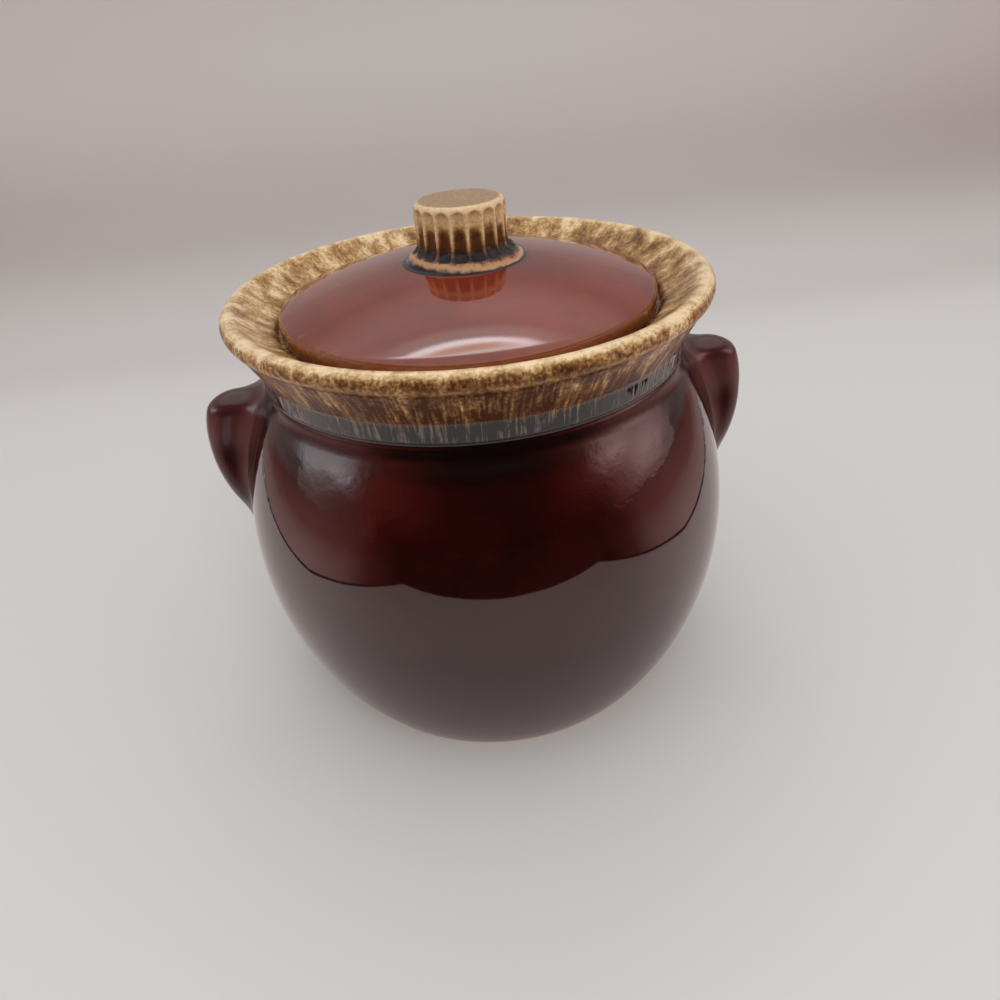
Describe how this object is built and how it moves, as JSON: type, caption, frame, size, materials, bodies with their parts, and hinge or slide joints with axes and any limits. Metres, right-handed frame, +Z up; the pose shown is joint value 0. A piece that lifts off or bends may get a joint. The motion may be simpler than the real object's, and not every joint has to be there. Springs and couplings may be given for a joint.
{
  "type": "lidded bean pot",
  "caption": "Round-bellied stoneware bean pot with flared collar, solid side lugs and a loose domed lid with a fluted knob.",
  "frame": {"origin": "on the pot's axis, at the level of its foot", "axes": "+Z up along the pot's axis, +X through the right lug, -Y towards the viewer who sees the lugs left and right"},
  "size_m": [0.1882, 0.1686, 0.1669],
  "materials": {
    "brown_glaze": "deep glossy red-brown glaze",
    "mottled_glaze": "glossy mottled tan glaze"
  },
  "bodies": {
    "pot": {"pot_body": "brown_glaze", "left_lug": "brown_glaze", "right_lug": "brown_glaze"},
    "lid": {"lid": "brown_glaze", "lid_knob": "mottled_glaze"}
  },
  "joints": [
    {"name": "lid_lift", "type": "slide", "parent": "pot", "child": "lid", "axis": [0, 0, 1], "range_m": [0, 0.06]}
  ]
}
